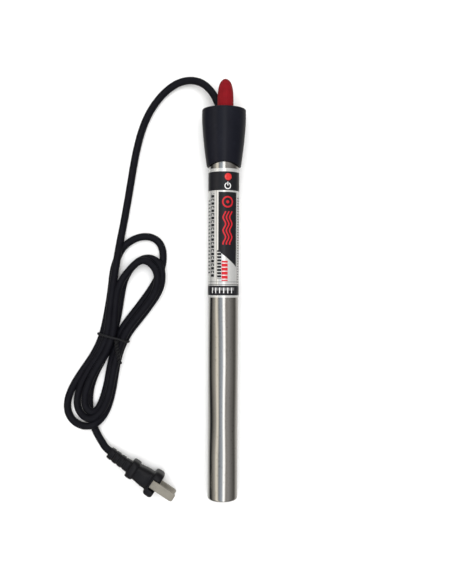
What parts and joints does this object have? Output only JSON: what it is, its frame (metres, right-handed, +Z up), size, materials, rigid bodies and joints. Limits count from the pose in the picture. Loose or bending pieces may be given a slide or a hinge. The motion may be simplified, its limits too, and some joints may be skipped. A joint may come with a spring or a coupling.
{
  "type": "submersible aquarium heater",
  "caption": "Straight steel-tube aquarium heater with a rubber head cap, temperature knob, printed sleeve, pilot lens and a mains cord wound in a tied hank.",
  "frame": {"origin": "centre of the base of the heater's own box, without its cord: the point of the floor midway along it", "axes": "+Y along the heater, from the closed end of the tube to the knob; +Z up; +X to the right of the knob end"},
  "size_m": [0.1355, 0.3132, 0.0323],
  "materials": {
    "tube_steel": "polished, drawn steel",
    "label_film": "printed foil film, black and silver",
    "lens": "clear red",
    "cap": "satin moulded rubber",
    "bung": "matte",
    "seal": "silicone",
    "cord": "smooth PVC-like sheath",
    "brass": "turned",
    "knob": "dull red, fine moulded texture",
    "spring_steel": "rolled strip",
    "bracket_steel": "plated",
    "phenolic": "brown phenolic",
    "contact": "silver",
    "magnet": "plain ferrite",
    "capacitor": "dipped",
    "fuse": "lacquered",
    "lamp_glass": "clear",
    "wire_brown": "insulation",
    "wire_blue": "insulation",
    "ceramic": "unglazed",
    "mica": "flaky sheet",
    "resistance_wire": "oxidised",
    "tie": "plastic coated wire",
    "plug": "satin moulded",
    "blade": "nickel plated"
  },
  "bodies": {
    "heater": {"outer_tube": "tube_steel", "label_sleeve": "label_film", "pilot_lens": "lens", "head_cap": "cap", "sealing_bung": "bung", "lower_mouth_seal": "seal", "upper_mouth_seal": "seal", "spindle_seal": "seal", "cord_gland": "cap", "cord_inner_end": "cord", "cord_clamp": "brass", "thermostat_bracket": "bracket_steel", "terminal_block": "phenolic", "bimetal_root": "spring_steel", "root_screw": "bracket_steel", "arm_pivot_pin": "bracket_steel", "snap_magnet": "magnet", "spark_capacitor": "capacitor", "thermal_fuse": "fuse", "neon_lamp": "lamp_glass", "lamp_resistor": "fuse", "live_wire": "wire_brown", "neutral_wire": "wire_blue", "element_wire": "wire_brown", "end_pad": "bung", "lower_disc": "ceramic", "upper_disc": "ceramic", "ceramic_core": "ceramic", "mica_liner": "mica", "heating_coil": "resistance_wire", "cord_lead": "cord", "cord_hank": "cord", "cord_tail": "cord", "wire_tie": "tie", "plug_body": "plug", "upper_blade": "blade", "lower_blade": "blade"},
    "knob": {"control_knob": "knob", "knob_spindle": "brass", "spindle_clip": "spring_steel"},
    "adjusting_screw": {"adjusting_screw": "brass"},
    "setting_arm": {"setting_arm": "spring_steel", "fixed_contact": "contact"},
    "bimetal": {"bimetal_blade": "spring_steel", "moving_contact": "contact"}
  },
  "joints": [
    {"name": "knob_turn", "type": "hinge", "parent": "heater", "child": "knob", "pos_m": [0.001, 0.13232, 0.02041], "axis": [0, 0.9998, 0.0184], "range_deg": [-135, 135]},
    {"name": "screw_advance", "type": "slide", "parent": "knob", "child": "adjusting_screw", "axis": [0, -0.9998, -0.0184], "range_m": [-0.0003, 0.0003]},
    {"name": "arm_tilt", "type": "hinge", "parent": "heater", "child": "setting_arm", "pos_m": [0.001, 0.05443, 0.01378], "axis": [1, 0, 0], "range_deg": [-3, 3]},
    {"name": "bimetal_bend", "type": "hinge", "parent": "heater", "child": "bimetal", "pos_m": [0.001, -0.00128, 0.01416], "axis": [-1, 0, 0], "range_deg": [0, 3], "stiffness_Nm_per_rad": 0.05, "springref_deg": -5.73}
  ],
  "couplings": [
    {"joint": "screw_advance", "follows": "knob_turn", "m_per_rad": 0.00011141},
    {"joint": "arm_tilt", "follows": "knob_turn", "ratio": 0.021425}
  ]
}
